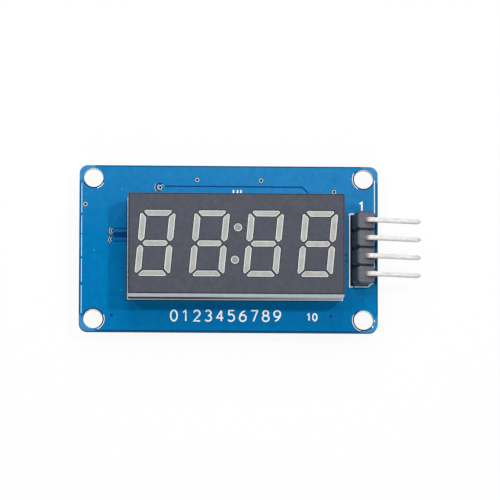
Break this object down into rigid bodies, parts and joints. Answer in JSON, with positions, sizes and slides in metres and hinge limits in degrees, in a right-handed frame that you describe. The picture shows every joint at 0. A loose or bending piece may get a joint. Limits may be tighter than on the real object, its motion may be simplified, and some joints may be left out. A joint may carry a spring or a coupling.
{
  "type": "seven segment display module",
  "caption": "Clock display on a drilled blue circuit board: slanted seven segment digits with a colon, a leaning right-angle pin header, and a driver chip with its small parts on the back.",
  "frame": {"origin": "centre of the mounting hole pattern on the back face of the board", "axes": "+Z out of the front of the display, +X along the board towards the pin header, +Y towards the top of the digits"},
  "size_m": [0.048, 0.0234, 0.0108],
  "materials": {
    "solder_mask": "satin blue solder mask",
    "housing": "white moulded housing",
    "face_print": "matt dark grey print",
    "casting": "milky cast resin",
    "inner_board": "bare laminate",
    "led_chip": "semiconductor chip",
    "display_pins": "tinned",
    "header_pins": "tinned, bright",
    "strip": "black moulded strip",
    "chip_body": "black moulding compound",
    "leads": "tinned",
    "resistor": "glazed black with metal ends",
    "capacitor": "brown ceramic with metal ends",
    "solder": "bright solder"
  },
  "bodies": {
    "root": {"circuit_board": "solder_mask", "display_shell": "housing", "display_face": "face_print", "display_epoxy": "casting", "display_substrate": "inner_board", "led_dice": "led_chip", "display_pin_1": "display_pins", "display_pin_2": "display_pins", "display_pin_3": "display_pins", "display_pin_4": "display_pins", "display_pin_5": "display_pins", "display_pin_6": "display_pins", "display_pin_7": "display_pins", "display_pin_8": "display_pins", "display_pin_9": "display_pins", "display_pin_10": "display_pins", "display_pin_11": "display_pins", "display_pin_12": "display_pins", "header_body": "strip", "header_pin_1": "header_pins", "header_pin_2": "header_pins", "header_pin_3": "header_pins", "header_pin_4": "header_pins", "driver_body": "chip_body", "driver_lead_1": "leads", "driver_lead_2": "leads", "driver_lead_3": "leads", "driver_lead_4": "leads", "driver_lead_5": "leads", "driver_lead_6": "leads", "driver_lead_7": "leads", "driver_lead_8": "leads", "driver_lead_9": "leads", "driver_lead_10": "leads", "driver_lead_11": "leads", "driver_lead_12": "leads", "driver_lead_13": "leads", "driver_lead_14": "leads", "driver_lead_15": "leads", "driver_lead_16": "leads", "driver_lead_17": "leads", "driver_lead_18": "leads", "driver_lead_19": "leads", "driver_lead_20": "leads", "resistor_1": "resistor", "resistor_2": "resistor", "capacitor_1": "capacitor", "capacitor_2": "capacitor", "capacitor_3": "capacitor", "capacitor_4": "capacitor", "display_solder": "solder", "header_solder": "solder", "driver_solder": "solder", "chip_part_solder": "solder"}
  },
  "joints": []
}
